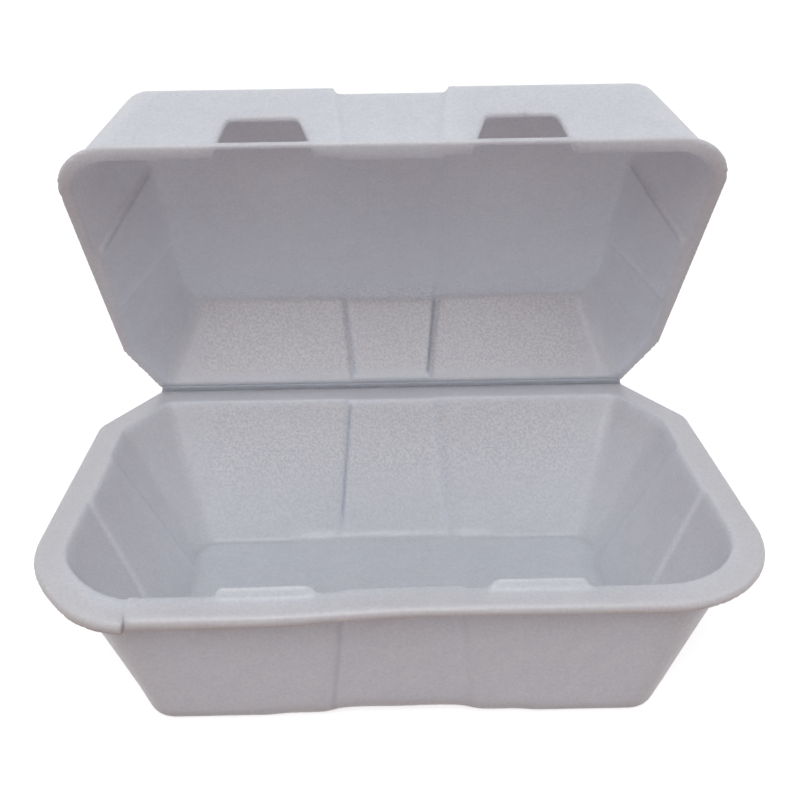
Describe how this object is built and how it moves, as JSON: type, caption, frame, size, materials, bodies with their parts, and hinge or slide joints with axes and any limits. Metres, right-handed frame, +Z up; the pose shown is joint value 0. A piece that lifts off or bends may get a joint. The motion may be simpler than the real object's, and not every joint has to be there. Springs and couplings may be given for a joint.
{
  "type": "hinged foam food container",
  "caption": "Hinged takeaway food container in foam sheet, standing open: a deep base with a broad turned down lip and a shallower lid with latch slots.",
  "frame": {"origin": "middle of the footprint of the whole open container, on the surface it stands on", "axes": "+Z up, +X along the crease towards the viewer's right, +Y from the front lip to the crease"},
  "size_m": [0.24, 0.17, 0.1901],
  "materials": {
    "foam": "matte foam sheet with a faint sheen"
  },
  "bodies": {
    "base": {"base": "foam"},
    "lid": {"lid": "foam"}
  },
  "joints": [
    {"name": "lid_hinge", "type": "hinge", "parent": "base", "child": "lid", "pos_m": [0, 0.06552, 0.05525], "axis": [-1, 0, 0], "range_deg": [-57.8, 122.2]}
  ]
}
